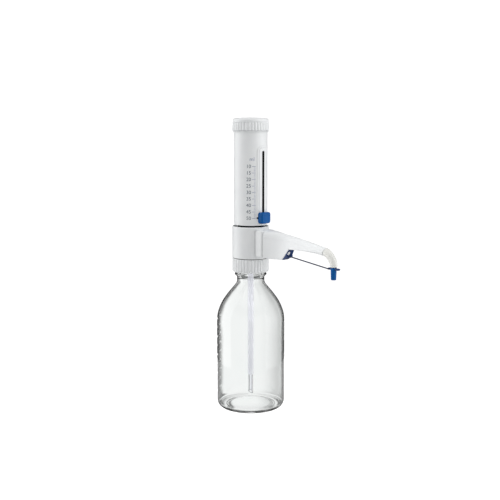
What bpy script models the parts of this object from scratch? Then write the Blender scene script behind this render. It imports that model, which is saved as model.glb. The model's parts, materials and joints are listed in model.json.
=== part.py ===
"""Bottle-top dispenser (a bottle-top burette) on a one-litre laboratory bottle.

Frame: +Z up, origin at the middle of the bottle's base on the bench, +X along the discharge arm.
Lengths below are in millimetres; MM turns them into Blender's metres. Every moving piece has its
origin, or its parent empty, on the axis of its joint.
"""
import math

import bmesh
import bpy
from mathutils import Matrix, Vector

MM = 0.001

# ---- driving dimensions (mm) -------------------------------------------------------------------
# Bottle
BOTTLE_R = 50.5
BOTTLE_WALL = 2.4
RIM_Z = 224.0
NECK_R = 20.6
NECK_BORE_R = 16.0
THREAD_CREST_R = 22.2
THREAD_PITCH = 4.0
BEAD_R = 23.6
BEAD_Z = 202.5
PUNT_Z = 2.0

# Thread ring (union nut)
RING_R = 27.2
RING_BOTTOM = 206.5
RING_TOP = 227.0
RING_BORE_R = 23.0
RING_HUB_R = 24.5
RING_HUB_TOP = 230.5
RIB_COUNT = 36
RIB_DEPTH = 0.7

# Head
HEAD_R = 27.2
HEAD_BOTTOM = 227.4
HEAD_TOP = 274.3
HEAD_FLOOR = 271.0
HEAD_RECESS_R = 25.4
BLOCK_R = 21.6
BLOCK_TOP = 262.2
SPIGOT_FLANGE_R = 22.0
SPIGOT_BOTTOM = 225.4
BOSS_END = 36.0
BOSS_HALF = 14.6
OUTLET_Z = 250.0

# Dispensing cylinder and its guide
BORE_R = 13.0
GLASS_R = 14.7
GLASS_BOTTOM = 256.6
GLASS_TOP = 384.0
GUIDE_INNER_R = 17.6
GUIDE_R = 19.0
GUIDE_TOP = 392.0
STOP_RING_R = 21.4
STOP_RING_Z = 388.0

# Sleeve that the hand lifts
SLEEVE_R = 24.6
SLEEVE_BORE_R = 22.3
SLEEVE_BOTTOM = 276.3
SLEEVE_TOP = 427.2
SHELF_Z = 415.0
SHELF_TOP = 418.0
SLOT_HALF = 2.2
SLOT_BOTTOM = 283.0
SLOT_TOP = 385.0
FRAME_HALF = 6.0
FRAME_R = 25.3
FRAME_BOTTOM = 278.0

# Volume slider
SLIDER_Z = 287.8
SLIDER_HALF = 8.6
SLIDER_HALF_HEIGHT = 8.2
SLIDER_FRONT = 32.4
POINTER_TIP = 10.8

# Top cap
CAP_R = 26.4
CAP_BOTTOM = 412.0
CAP_TOP = 432.5

# Filling tube
TUBE_R = 4.5
TUBE_BORE_R = 3.95
TUBE_TOP = 213.5
TUBE_BOTTOM = 49.0
INNER_TUBE_R = 3.6
INNER_TUBE_BORE_R = 2.8
INNER_TUBE_TOP = 130.0
INNER_TUBE_BOTTOM = 20.0

# Discharge arm: outer stations (x, top z, bottom z, half width), arched on top, then the rounded end
ARM_STATIONS = [
    (36.6, 269.9, 230.8, 13.6),
    (52.0, 269.3, 230.5, 10.2),
    (68.4, 267.5, 230.5, 6.8),
    (80.8, 266.0, 246.6, 6.7),
    (100.0, 263.4, 247.2, 6.5),
    (118.0, 259.9, 246.4, 6.2),
    (132.0, 257.0, 245.2, 6.0),
    (143.0, 254.8, 243.0, 5.9),
]
ARM_WALL = 1.8
ARCH_R = 6.6
LUMEN_R = 2.0
HOSE_R = 2.9
HOSE_ROUTE = [(39.5, 250.0), (48.0, 250.3), (60.0, 252.3), (74.0, 255.0), (85.0, 256.3),
              (100.0, 255.3), (116.0, 253.2), (132.0, 251.2), (141.0, 249.4)]
NOZZLE_ROUTE = [(144.0, 248.9), (147.2, 247.6), (151.4, 244.5), (155.2, 240.3), (157.8, 234.9), (158.4, 229.2)]
NOZZLE_R = 5.9
NOZZLE_END_R = 5.2
SPIGOT_R = 1.8

# Tip cap, its wire and the bracket that holds the wire
PIVOT_X, PIVOT_Z = 79.4, 236.6
HOLD_X, HOLD_Z = 151.0, 226.8
WIRE_R = 0.6
WIRE_Y = -2.9
TIP_X = 158.4
TIP_CAP_TOP = 228.7
TIP_CAP_BOTTOM = 211.4
TIP_CAP_R = 4.15

# Facets of a full turn, by size
FINE, MEDIUM, COARSE = 40, 28, 16

MERGE = 0.00001
CUTTERS = "cutters"


# ---- helpers -----------------------------------------------------------------------------------
def clear_scene():
    for obj in list(bpy.data.objects):
        bpy.data.objects.remove(obj)


def collection(name):
    made = bpy.data.collections.new(name)
    bpy.context.scene.collection.children.link(made)
    return made


def material(name, colour, roughness, metallic=0.0, alpha=1.0):
    made = bpy.data.materials.new(name)
    made.use_nodes = True
    shader = made.node_tree.nodes["Principled BSDF"]
    shader.inputs["Base Color"].default_value = (*colour, 1.0)
    shader.inputs["Roughness"].default_value = roughness
    shader.inputs["Metallic"].default_value = metallic
    shader.inputs["Alpha"].default_value = alpha
    made.diffuse_color = (*colour, alpha)
    return made


def link(obj, finish=None):
    """Puts obj among the parts, or among the cutters when it has no finish."""
    if finish is None:
        bpy.data.collections[CUTTERS].objects.link(obj)
        obj.hide_render = True
        obj.display_type = "WIRE"
        return obj
    bpy.data.collections["bottle_top_dispenser"].objects.link(obj)
    obj.data.materials.clear()
    obj.data.materials.append(MATERIALS[finish])
    return obj


def place(obj, parent, origin=(0.0, 0.0, 0.0)):
    """Sets the origin in mm, in world coordinates, and parents obj without moving it."""
    obj.location = Vector(origin) * MM
    if parent is not None:
        obj.parent = parent
        obj.matrix_parent_inverse = parent.matrix_world.inverted()
    return obj


def pivot(name, origin, parent=None):
    """An empty on a joint's axis."""
    empty = bpy.data.objects.new(name, None)
    bpy.data.collections["bottle_top_dispenser"].objects.link(empty)
    empty.empty_display_size = 0.01
    place(empty, parent, origin)
    bpy.context.view_layer.update()
    return empty


def turned(name, profile, finish=None, steps=FINE, closed=True, along_x=False):
    """A turned shape: (radius, height) points, down the outer side first, about local Z or world X."""
    mesh = bpy.data.meshes.new(name)
    edges = [(i, i + 1) for i in range(len(profile) - 1)]
    if closed:
        edges.append((len(profile) - 1, 0))
    mesh.from_pydata([(r * MM, 0.0, h * MM) for r, h in profile], edges, [])
    obj = link(bpy.data.objects.new(name, mesh), finish)
    screw = obj.modifiers.new("turn", "SCREW")
    screw.steps = screw.render_steps = steps
    screw.use_merge_vertices = True
    screw.merge_threshold = MERGE
    screw.use_smooth_shade = True
    if along_x:
        obj.rotation_euler = (0.0, math.pi / 2, 0.0)
    return obj


def ring_profile(outer, inner, bottom, top):
    return [(outer, top), (outer, bottom), (inner, bottom), (inner, top)]


def rod_profile(radius, bottom, top):
    return [(0.0, top), (radius, top), (radius, bottom), (0.0, bottom)]


def rod(name, radius, bottom, top, finish=None, steps=MEDIUM, along_x=False):
    return turned(name, rod_profile(radius, bottom, top), finish, steps, closed=False, along_x=along_x)


def box(name, low, high, finish=None, bevel=0.0):
    """A box from its low to its high corner, in mm."""
    mesh = bpy.data.meshes.new(name)
    shape = bmesh.new()
    bmesh.ops.create_cube(shape, size=1.0)
    size = [(b - a) * MM for a, b in zip(low, high)]
    centre = [(a + b) / 2 * MM for a, b in zip(low, high)]
    bmesh.ops.scale(shape, vec=size, verts=shape.verts)
    bmesh.ops.translate(shape, vec=centre, verts=shape.verts)
    shape.to_mesh(mesh)
    shape.free()
    obj = link(bpy.data.objects.new(name, mesh), finish)
    if bevel:
        rounding = obj.modifiers.new("round", "BEVEL")
        rounding.width = bevel * MM
        rounding.segments = 2
    return obj


def boolean(obj, other, operation):
    step = obj.modifiers.new(operation.lower(), "BOOLEAN")
    step.operation = operation
    step.object = other
    return obj


def cut(obj, *others):
    for other in others:
        boolean(obj, other, "DIFFERENCE")
    return obj


def join(obj, *others):
    for other in others:
        boolean(obj, other, "UNION")
    return obj


def smooth_route(points, per_span):
    """Points on a Catmull-Rom curve through the given points."""
    ends = [points[0]] + list(points) + [points[-1]]
    route = []
    for a, b, c, d in zip(ends, ends[1:], ends[2:], ends[3:]):
        for step in range(per_span):
            t = step / per_span
            route.append(tuple(
                0.5 * (2 * q + (r - p) * t + (2 * p - 5 * q + 4 * r - s) * t * t + (3 * q - p - 3 * r + s) * t ** 3)
                for p, q, r, s in zip(a, b, c, d)))
    return route + [tuple(points[-1])]


def tube(name, points, radius, finish=None, radii=None, sides=2):
    """A solid round bar along points in mm, made a welded mesh."""
    curve = bpy.data.curves.new(name + "_curve", "CURVE")
    curve.dimensions = "3D"
    curve.bevel_depth = radius * MM
    curve.bevel_resolution = sides
    curve.use_fill_caps = True
    spline = curve.splines.new("POLY")
    spline.points.add(len(points) - 1)
    for i, point in enumerate(points):
        spline.points[i].co = (*(c * MM for c in point), 1.0)
        spline.points[i].radius = radii[i] / radius if radii else 1.0
    guide = bpy.data.objects.new(name + "_curve", curve)
    bpy.context.scene.collection.objects.link(guide)
    bpy.context.view_layer.update()
    evaluated = guide.evaluated_get(bpy.context.evaluated_depsgraph_get())
    mesh = bpy.data.meshes.new_from_object(evaluated)
    bpy.data.objects.remove(guide)
    shape = bmesh.new()
    shape.from_mesh(mesh)
    bmesh.ops.remove_doubles(shape, verts=shape.verts, dist=MERGE)
    bmesh.ops.recalc_face_normals(shape, faces=shape.faces)
    shape.to_mesh(mesh)
    shape.free()
    mesh.name = name
    return link(bpy.data.objects.new(name, mesh), finish)


def in_arm_plane(points, y=0.0):
    return [(x, y, z) for x, z in points]


def plate(name, outlines, low, high, finish=None, axis="Z"):
    """A flat plate with the given outlines (the first is the edge, the rest are holes) from low to high along axis.

    An outline's two coordinates are X and Y for axis Z, Y and Z for axis X, and X and Z for axis Y.
    """
    curve = bpy.data.curves.new(name + "_outline", "CURVE")
    curve.dimensions = "2D"
    curve.fill_mode = "BOTH"
    curve.extrude = (high - low) / 2 * MM
    for outline in outlines:
        spline = curve.splines.new("POLY")
        spline.points.add(len(outline) - 1)
        for point, (u, v) in zip(spline.points, outline):
            point.co = (u * MM, v * MM, 0.0, 1.0)
        spline.use_cyclic_u = True
    guide = bpy.data.objects.new(name + "_outline", curve)
    bpy.context.scene.collection.objects.link(guide)
    bpy.context.view_layer.update()
    evaluated = guide.evaluated_get(bpy.context.evaluated_depsgraph_get())
    mesh = bpy.data.meshes.new_from_object(evaluated)
    bpy.data.objects.remove(guide)
    turns = {
        "Z": Matrix.Identity(4),
        "X": Matrix(((0, 0, 1, 0), (1, 0, 0, 0), (0, 1, 0, 0), (0, 0, 0, 1))),
        "Y": Matrix(((1, 0, 0, 0), (0, 0, -1, 0), (0, 1, 0, 0), (0, 0, 0, 1))),
    }
    middle = (low + high) / 2 * MM
    shift = {"Z": (0, 0, middle), "X": (middle, 0, 0), "Y": (0, middle, 0)}[axis]
    shape = bmesh.new()
    shape.from_mesh(mesh)
    bmesh.ops.transform(shape, matrix=Matrix.Translation(shift) @ turns[axis], verts=shape.verts)
    bmesh.ops.remove_doubles(shape, verts=shape.verts, dist=MERGE)
    bmesh.ops.recalc_face_normals(shape, faces=shape.faces)
    shape.to_mesh(mesh)
    shape.free()
    mesh.name = name
    return link(bpy.data.objects.new(name, mesh), finish)


def circle(radius, count, centre=(0.0, 0.0)):
    return [(centre[0] + radius * math.cos(2 * math.pi * i / count),
             centre[1] + radius * math.sin(2 * math.pi * i / count)) for i in range(count)]


def ribbed_outline(root, depth, count):
    """A circle with pointed grip ribs."""
    points = []
    for i in range(2 * count):
        angle = i * math.pi / count
        radius = root + depth * (i % 2)
        points.append((radius * math.cos(angle), radius * math.sin(angle)))
    return points


def arched_section(x, top, bottom, half, arch, lean=0.0):
    """Eighteen points across the arm: an arched top, a floor with small corners, leaning by an angle about Y."""
    points = []
    middle, high = (top + bottom) / 2, (top - bottom) / 2
    upper, lower = min(arch, half - 0.05), min(1.6, half - 0.05)
    if lean:
        upper = lower = min(half, high) - 0.05
    for sy, sz, start, radius, steps in ((1, 1, 0, upper, 5), (-1, 1, 90, upper, 5), (-1, -1, 180, lower, 4),
                                         (1, -1, 270, lower, 4)):
        for y, v in arc((sy * (half - radius), sz * (high - radius)), radius, start, start + 90, steps):
            points.append((x + v * math.sin(lean), y, middle + v * math.cos(lean)))
    return points


def loft(name, sections, finish=None):
    """A closed skin over sections that hold the same number of points."""
    mesh = bpy.data.meshes.new(name)
    count = len(sections[0])
    vertices = [tuple(c * MM for c in p) for section in sections for p in section]
    faces = [tuple(range(count))[::-1], tuple(range((len(sections) - 1) * count, len(sections) * count))]
    for s in range(len(sections) - 1):
        for i in range(count):
            j = (i + 1) % count
            faces.append((s * count + i, s * count + j, (s + 1) * count + j, (s + 1) * count + i))
    mesh.from_pydata(vertices, [], faces)
    shape = bmesh.new()
    shape.from_mesh(mesh)
    bmesh.ops.recalc_face_normals(shape, faces=shape.faces)
    shape.to_mesh(mesh)
    shape.free()
    return link(bpy.data.objects.new(name, mesh), finish)


def arc(centre, radius, start, end, count):
    """Points (r, z) on an arc, angles in degrees from +r towards +z, both ends included."""
    angles = [math.radians(start + (end - start) * i / (count - 1)) for i in range(count)]
    return [(centre[0] + radius * math.cos(a), centre[1] + radius * math.sin(a)) for a in angles]


# ---- bottle ------------------------------------------------------------------------------------
def bottle():
    corner = 11.0
    shoulder_outer = [(23.3, 186.2), (33.6, 173.4), (42.4, 160.9), (48.0, 148.2), (50.0, 139.5)]
    outer = [(NECK_R, RIM_Z), (NECK_R, 221.5), (THREAD_CREST_R, 219.9), (NECK_R, 218.3),
             (NECK_R, 217.5), (THREAD_CREST_R, 215.9), (NECK_R, 214.3),
             (NECK_R, BEAD_Z + 2.6), (BEAD_R, BEAD_Z + 1.2), (BEAD_R, BEAD_Z - 1.2),
             (NECK_R - 0.6, BEAD_Z - 3.0), (NECK_R - 0.2, 192.5)]
    outer += shoulder_outer
    outer += [(BOTTLE_R, 131.0)]
    outer += arc((BOTTLE_R - corner, corner), corner, 0, -90, 5)
    punt = [(30.0, 0.0), (14.0, PUNT_Z), (0.0, PUNT_Z)]
    inner_corner = 10.0
    floor = [(0.0, 6.4), (16.0, 6.2)]
    inner = floor + arc((BOTTLE_R - BOTTLE_WALL - inner_corner, 4.4 + inner_corner), inner_corner, -90, 0, 4)
    inner += [(BOTTLE_R - BOTTLE_WALL, 131.0)]
    inner += [(r - 2.0, z - 1.6) for r, z in reversed(shoulder_outer)]
    inner += [(17.6, 192.6), (NECK_BORE_R, 199.0), (NECK_BORE_R, RIM_Z)]
    return turned("bottle", outer + punt + inner, "glass", FINE)


# ---- thread ring and its seal ------------------------------------------------------------------
def thread_ring():
    ring = plate("thread_ring", [ribbed_outline(RING_R - RIB_DEPTH, RIB_DEPTH, RIB_COUNT),
                                 circle(RING_BORE_R, FINE)], RING_BOTTOM, RING_TOP, "white")
    hub = turned("ring_hub", [(RING_HUB_R, RING_HUB_TOP), (RING_HUB_R, RING_TOP - 3.0),
                              (RING_BORE_R - 0.4, RING_TOP - 3.0), (RING_BORE_R - 0.4, RING_HUB_TOP - 2.2),
                              (19.3, RING_HUB_TOP - 2.2), (19.3, RING_HUB_TOP)])
    return join(ring, hub)


def rim_gasket():
    return turned("rim_gasket", ring_profile(21.0, 16.6, RIM_Z + 0.3, RIM_Z + 1.1), "seal", MEDIUM)


# ---- head: housing, valve block and valves -----------------------------------------------------
def head_housing():
    edge = 2.2
    housing = turned("head_housing", [(0.0, HEAD_TOP), (HEAD_R - edge, HEAD_TOP)]
                     + arc((HEAD_R - edge, HEAD_TOP - edge), edge, 90, 0, 4)[1:]
                     + [(HEAD_R, HEAD_BOTTOM), (0.0, HEAD_BOTTOM)], "white", FINE, closed=False)
    boss = box("arm_boss", (18.0, -BOSS_HALF, 231.0), (BOSS_END, BOSS_HALF, 269.9), bevel=2.2)
    cavity = turned("head_cavity", [(0.0, HEAD_FLOOR - 2.6), (BLOCK_R + 0.4, HEAD_FLOOR - 2.6),
                                    (BLOCK_R + 0.4, 231.0), (RING_HUB_R + 0.6, 231.0),
                                    (RING_HUB_R + 0.6, 220.0), (0.0, 220.0)], closed=False)
    recess = rod("head_recess", HEAD_RECESS_R, HEAD_FLOOR, 290.0, steps=FINE)
    guide_hole = rod("head_guide_hole", GUIDE_R + 0.4, 255.0, 280.0, steps=FINE)
    outlet_bore = rod("outlet_bore", 6.4, 18.0, 45.0, steps=COARSE, along_x=True)
    outlet_bore.location.z = OUTLET_Z * MM
    vent_bore = rod("vent_bore", 3.0, -40.0, -18.0, steps=COARSE, along_x=True)
    vent_bore.location.z = 240.0 * MM
    return cut(join(housing, boss), cavity, recess, guide_hole, outlet_bore, vent_bore)


def vent_plug():
    plug = turned("vent_plug", [(0.0, -22.6), (2.6, -22.6), (2.6, -27.6), (4.8, -27.6), (4.8, -29.4),
                                (4.0, -30.2), (0.0, -30.2)], "white", COARSE, closed=False, along_x=True)
    return plug


def valve_block():
    block = turned("valve_block", [
        (15.2, BLOCK_TOP), (BLOCK_R, BLOCK_TOP), (BLOCK_R, 231.4), (18.8, 231.4), (18.8, 228.0),
        (SPIGOT_FLANGE_R, 228.0), (SPIGOT_FLANGE_R, SPIGOT_BOTTOM), (7.4, SPIGOT_BOTTOM),
        (7.4, 243.0), (3.2, 243.0), (3.2, 254.6), (15.2, 254.6)], "block", MEDIUM)
    channel = rod("outlet_channel", 3.2, 0.0, 30.0, steps=COARSE, along_x=True)
    channel.location.z = OUTLET_Z * MM
    return cut(block, channel)


def inlet_valve():
    """Filling valve: body with its ball seat and hose barb, the ball and the seal under its flange."""
    body = turned("inlet_valve_body", [
        (2.2, 242.6), (7.0, 242.6), (7.0, 224.0), (9.2, 224.0), (9.2, 221.4), (4.3, 214.0),
        (3.5, 213.7), (3.5, 205.0), (2.0, 205.0), (2.0, 225.2), (3.7, 227.2), (3.7, 240.0), (2.2, 240.0)],
        "block", COARSE)
    seal = turned("inlet_seal", ring_profile(9.2, 7.3, 224.3, 225.1), "seal", COARSE)
    return body, seal


def ball(name, radius, centre):
    mesh = bpy.data.meshes.new(name)
    shape = bmesh.new()
    bmesh.ops.create_uvsphere(shape, u_segments=12, v_segments=8, radius=radius * MM)
    shape.to_mesh(mesh)
    shape.free()
    obj = link(bpy.data.objects.new(name, mesh), "ceramic")
    return place(obj, None, centre)


def outlet_valve():
    body = turned("outlet_valve_body", [
        (3.3, 42.0), (6.0, 42.0), (6.0, 22.4), (1.8, 22.4), (1.8, 26.0), (3.3, 27.6)],
        "block", COARSE, along_x=True)
    turns, wire, radius = 5, 0.3, 2.35
    count = turns * 8
    coil = [(32.0 + 7.0 * i / count,
             radius * math.cos(2 * math.pi * turns * i / count),
             OUTLET_Z + radius * math.sin(2 * math.pi * turns * i / count)) for i in range(count + 1)]
    spring = tube("outlet_spring", coil, wire, "steel")
    body.location.z = OUTLET_Z * MM
    return body, spring


# ---- filling tube ------------------------------------------------------------------------------
def filling_tube():
    fixed = turned("filling_tube", ring_profile(TUBE_R, TUBE_BORE_R, TUBE_BOTTOM, TUBE_TOP), "clear_tube", COARSE)
    # The foot of the sliding tube is cut slantwise, so that it can't seal itself on the floor.
    sliding = turned("filling_tube_extension", ring_profile(
        INNER_TUBE_R, INNER_TUBE_BORE_R, INNER_TUBE_BOTTOM, INNER_TUBE_TOP), "clear_tube", COARSE)
    slant = box("tube_slant", (-10.0, -6.0, -6.0), (10.0, 6.0, 0.0))
    slant.rotation_euler = (0.0, math.radians(30.0), 0.0)
    slant.location = (0.0, 0.0, (INNER_TUBE_BOTTOM + 2.1) * MM)
    return fixed, cut(sliding, slant)


# ---- dispensing cylinder and guide -------------------------------------------------------------
def dispensing_cylinder():
    glass = turned("dispensing_cylinder", ring_profile(GLASS_R, BORE_R, GLASS_BOTTOM, GLASS_TOP), "glass", MEDIUM)
    seal = turned("cylinder_seal", ring_profile(14.8, 12.8, 254.9, 256.3), "seal", COARSE)
    nut = turned("cylinder_nut", ring_profile(17.2, 15.1, BLOCK_TOP + 0.3, 267.6), "block", MEDIUM)
    return glass, seal, nut


def guide_sleeve():
    guide = turned("guide_sleeve", [
        (STOP_RING_R, GUIDE_TOP), (STOP_RING_R, STOP_RING_Z), (GUIDE_R, STOP_RING_Z - 1.5),
        (GUIDE_R, BLOCK_TOP + 0.4), (GUIDE_INNER_R, BLOCK_TOP + 0.4), (GUIDE_INNER_R, GUIDE_TOP)], "black", FINE)
    # The clamp shoe of the volume slider passes the stop ring through this notch.
    notch = box("stop_notch", (GUIDE_R + 0.2, -6.0, 380.0), (30.0, 6.0, 400.0))
    return cut(guide, notch)


# ---- sleeve, top cap and piston ----------------------------------------------------------------
def outer_sleeve():
    sleeve = turned("outer_sleeve", [
        (SLEEVE_R, SLEEVE_TOP), (SLEEVE_R, SLEEVE_BOTTOM + 0.8), (SLEEVE_R - 0.8, SLEEVE_BOTTOM),
        (19.6, SLEEVE_BOTTOM), (19.6, SLEEVE_BOTTOM + 2.4), (SLEEVE_BORE_R, SLEEVE_BOTTOM + 4.6),
        (SLEEVE_BORE_R, SHELF_Z),
        (9.0, SHELF_Z), (9.0, SHELF_TOP), (SLEEVE_BORE_R, SHELF_TOP), (SLEEVE_BORE_R, SLEEVE_TOP)], "white", FINE)
    top = SLOT_TOP - FRAME_HALF * 0.2
    outline = [(-FRAME_HALF, FRAME_BOTTOM), (FRAME_HALF, FRAME_BOTTOM)] + arc((0.0, top), FRAME_HALF, 0, 180, 9)
    frame = plate("slot_frame", [outline], 23.0, FRAME_R, axis="X")
    round_end = arc((0.0, SLOT_TOP - SLOT_HALF), SLOT_HALF, 0, 180, 5)
    slot = plate("sleeve_slot", [[(-SLOT_HALF, SLOT_BOTTOM), (SLOT_HALF, SLOT_BOTTOM)] + round_end],
                 18.0, 30.0, axis="X")
    return cut(join(sleeve, frame), slot)


def top_cap():
    edge = 4.5
    cap = turned("top_cap", [(0.0, CAP_TOP), (CAP_R - edge, CAP_TOP)]
                 + arc((CAP_R - edge, CAP_TOP - edge), edge, 90, 0, 5)[1:]
                 + [(CAP_R, CAP_BOTTOM + 0.6), (CAP_R - 0.6, CAP_BOTTOM), (SLEEVE_R + 0.4, CAP_BOTTOM),
                    (SLEEVE_R + 0.4, 428.0), (14.0, 428.0), (14.0, 421.8), (9.0, 421.8), (9.0, 428.0),
                    (0.0, 428.0)], "white", FINE, closed=False)
    ribs = plate("cap_ribs", [ribbed_outline(CAP_R - 0.2, RIB_DEPTH + 0.2, RIB_COUNT), circle(CAP_R - 0.8, FINE)],
                 CAP_BOTTOM + 0.8, CAP_TOP - 6.6)
    return join(cap, ribs)


def piston():
    """Piston with its seal groove, the seal, the rod with its head and the nut that locks the rod."""
    body = turned("piston", [
        (5.8, 274.0), (12.5, 274.0), (12.5, 264.4), (10.9, 264.4), (10.9, 261.6), (12.5, 261.6),
        (12.5, 259.0), (11.5, 258.0), (0.0, 257.6), (0.0, 270.0), (5.8, 270.0)], "ptfe", MEDIUM, closed=True)
    seal = turned("piston_seal", ring_profile(12.8, 11.2, 262.0, 264.1), "seal", MEDIUM)
    rod_body = turned("piston_rod", [
        (0.0, 426.0), (3.0, 426.0), (3.0, 421.5), (14.0, 421.5), (14.0, SHELF_TOP + 0.3), (5.5, SHELF_TOP + 0.3),
        (5.5, 270.3), (0.0, 270.3)], "grey", COARSE, closed=False)
    nut = plate("rod_nut", [circle(6.4, 6), circle(3.3, COARSE)], 421.8, 425.4, "steel")
    return body, seal, rod_body, nut


# ---- volume slider -----------------------------------------------------------------------------
def volume_slider():
    """Saddle block on the sleeve, the shoe that holds it behind the slot, and the pointer."""
    low = (21.0, -SLIDER_HALF, SLIDER_Z - SLIDER_HALF_HEIGHT)
    high = (SLIDER_FRONT, SLIDER_HALF, SLIDER_Z + SLIDER_HALF_HEIGHT)
    block = box("slider_block", low, high, "blue", bevel=1.7)
    saddle = rod("slider_saddle", SLEEVE_R + 0.3, 270.0, 306.0, steps=FINE)
    step = box("slider_step", (15.0, -FRAME_HALF - 0.3, 270.0), (FRAME_R + 0.3, FRAME_HALF + 0.3, 306.0))
    pocket = rod("pointer_pocket", SLEEVE_R + 1.8, SLIDER_Z - 2.2, SLIDER_Z + 2.2, steps=FINE)
    neck = box("slider_neck", (21.0, -1.4, SLIDER_Z - 3.5), (28.0, 1.4, SLIDER_Z + 3.5))
    peg = box("slider_peg", (19.6, -0.9, SLIDER_Z - 2.0), (22.0, 0.9, SLIDER_Z + 2.0))
    join(cut(block, saddle, step, pocket), neck, peg)
    shoe = box("clamp_shoe", (19.5, -4.5, SLIDER_Z - 5.0), (20.7, 4.5, SLIDER_Z + 5.0), "black")
    cut(shoe, box("shoe_hole", (18.0, -1.2, SLIDER_Z - 2.3), (22.0, 1.2, SLIDER_Z + 2.3)))
    tip = [(-POINTER_TIP, SLIDER_Z), (-8.6, SLIDER_Z + 1.7), (-6.7, SLIDER_Z + 1.7), (-6.7, SLIDER_Z - 1.7),
           (-8.6, SLIDER_Z - 1.7)]
    pointer = plate("volume_pointer", [tip], 18.0, 30.0, "black", axis="X")
    under = rod("pointer_under", SLEEVE_R + 0.3, 280.0, 296.0, steps=FINE)
    over = turned("pointer_over", ring_profile(36.0, SLEEVE_R + 1.5, 280.0, 296.0), steps=FINE)
    return block, shoe, cut(pointer, under, over)


# ---- discharge arm -----------------------------------------------------------------------------
def arm_cover():
    end_lean = math.radians(20.0)
    outer = []
    for x, top, bottom, half in ARM_STATIONS:
        outer.append(arched_section(x, top, bottom, half, ARCH_R, end_lean if x > 130.0 else 0.0))
    cover = loft("arm_cover", outer, "white")
    inner = []
    shift = (-1.0, 0.0, -2.4, -1.6, 0.0, -1.5)
    for (x, top, bottom, half), move in zip(ARM_STATIONS[:6], shift):
        inner.append(arched_section(x + move, top - ARM_WALL, bottom + ARM_WALL, half - ARM_WALL, ARCH_R - ARM_WALL))
    hollow = loft("arm_hollow", inner)
    passage_route = smooth_route(HOSE_ROUTE[5:] + [(150.0, 247.0)], 3)
    passage = tube("hose_passage", in_arm_plane(passage_route), HOSE_R + 0.4)
    return cut(cover, hollow, passage)


def discharge_hose():
    route = in_arm_plane(smooth_route(HOSE_ROUTE, 2))
    hose = tube("discharge_hose", route, HOSE_R, "clear_tube")
    ends = [(36.0, 0.0, HOSE_ROUTE[0][1]), *route, (144.5, 0.0, 248.5)]
    return cut(hose, tube("hose_lumen", ends, LUMEN_R))


def nozzle():
    route = in_arm_plane(smooth_route(NOZZLE_ROUTE, 2))
    radii = [NOZZLE_R + (NOZZLE_END_R - NOZZLE_R) * i / (len(route) - 1) for i in range(len(route))]
    tip = [(TIP_X, 0.0, 229.15), (TIP_X, 0.0, 223.6)]
    body = tube("discharge_nozzle", route + tip, NOZZLE_R, "clear_tube", radii + [SPIGOT_R, 1.3], sides=3)
    first = in_arm_plane([(140.0, 250.2)])
    lumen_radii = [1.6] * (len(route) + 1) + [0.8, 0.8]
    lumen = tube("nozzle_lumen", first + route + [(TIP_X, 0.0, 228.0), (TIP_X, 0.0, 220.0)], 1.6, radii=lumen_radii)
    return cut(body, lumen)


def wire_bracket():
    """Blue end piece on the slanted foot of the arm cover, with a window and the lug that holds the wire."""
    face = [(68.8, 230.4), (75.6, 234.2), (80.4, 244.8), (81.5, 245.9), (80.5, 245.9)]
    bracket = plate("wire_bracket", [face], -6.3, 6.3, "blue", axis="Y")
    base = 75.4
    nose = [(base, PIVOT_Z - 2.3)] + arc((PIVOT_X, PIVOT_Z), 2.3, -90, 90, 7) + [(base, PIVOT_Z + 2.3)]
    lug = plate("bracket_lug", [nose], -1.9, 1.9, axis="Y")
    bore = plate("bracket_bore", [circle(0.95, 12, (PIVOT_X, PIVOT_Z))], -12.0, 12.0, axis="Y")
    window = rod("bracket_window", 1.9, -14.0, 14.0, steps=16)
    window.rotation_euler = (0.0, math.radians(113.0), 0.0)
    window.location = (78.0 * MM, -3.6 * MM, 240.8 * MM)
    return cut(join(bracket, lug), bore, window)


def cap_wire():
    """A straight wire whose ends are bent across, one into the bracket and one into the cap's bar."""
    leg = 2.6
    start, end = Vector((PIVOT_X, WIRE_Y, PIVOT_Z)), Vector((HOLD_X, WIRE_Y, HOLD_Z))
    along = (end - start).normalized()
    route = [(PIVOT_X, leg, PIVOT_Z), (PIVOT_X, WIRE_Y + 0.5, PIVOT_Z), tuple(start + along * 0.5),
             tuple(end - along * 0.5), (HOLD_X, WIRE_Y + 0.5, HOLD_Z), (HOLD_X, leg, HOLD_Z)]
    return tube("cap_wire", route, WIRE_R, "dark_wire")


def tip_cap():
    cup = turned("tip_cap", [
        (2.9, TIP_CAP_TOP), (TIP_CAP_R, TIP_CAP_TOP), (3.7, TIP_CAP_BOTTOM + 1.0), (3.0, TIP_CAP_BOTTOM),
        (0.0, TIP_CAP_BOTTOM), (0.0, 215.0), (2.6, 215.0)], "blue", COARSE)
    cup.location.x = TIP_X * MM
    low, high = HOLD_Z - 1.35, HOLD_Z + 1.35
    left = [(HOLD_X + 0.2, high), (HOLD_X - 1.2, high - 0.4), (HOLD_X - 1.6, HOLD_Z), (HOLD_X - 1.2, low + 0.4),
            (HOLD_X + 0.2, low)]
    bar = plate("cap_bar", [left + [(167.6, low + 0.3), (169.0, HOLD_Z), (167.6, high)]], -1.9, 1.9, axis="Y")
    hole = plate("cap_bar_hole", [circle(0.95, 12, (HOLD_X, HOLD_Z))], -6.0, 6.0, axis="Y")
    well = rod("cap_well", 2.7, 215.5, 240.0, steps=COARSE)
    well.location.x = TIP_X * MM
    return cut(join(cup, bar), hole, well)


# ---- assembly ----------------------------------------------------------------------------------
def set_origin(obj, origin):
    """Moves an object's origin to a point in mm without moving its shape."""
    bpy.context.view_layer.update()
    world = Vector(origin) * MM
    offset = obj.matrix_world.inverted() @ world
    obj.data.transform(Matrix.Translation(-offset))
    obj.location = world


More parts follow.
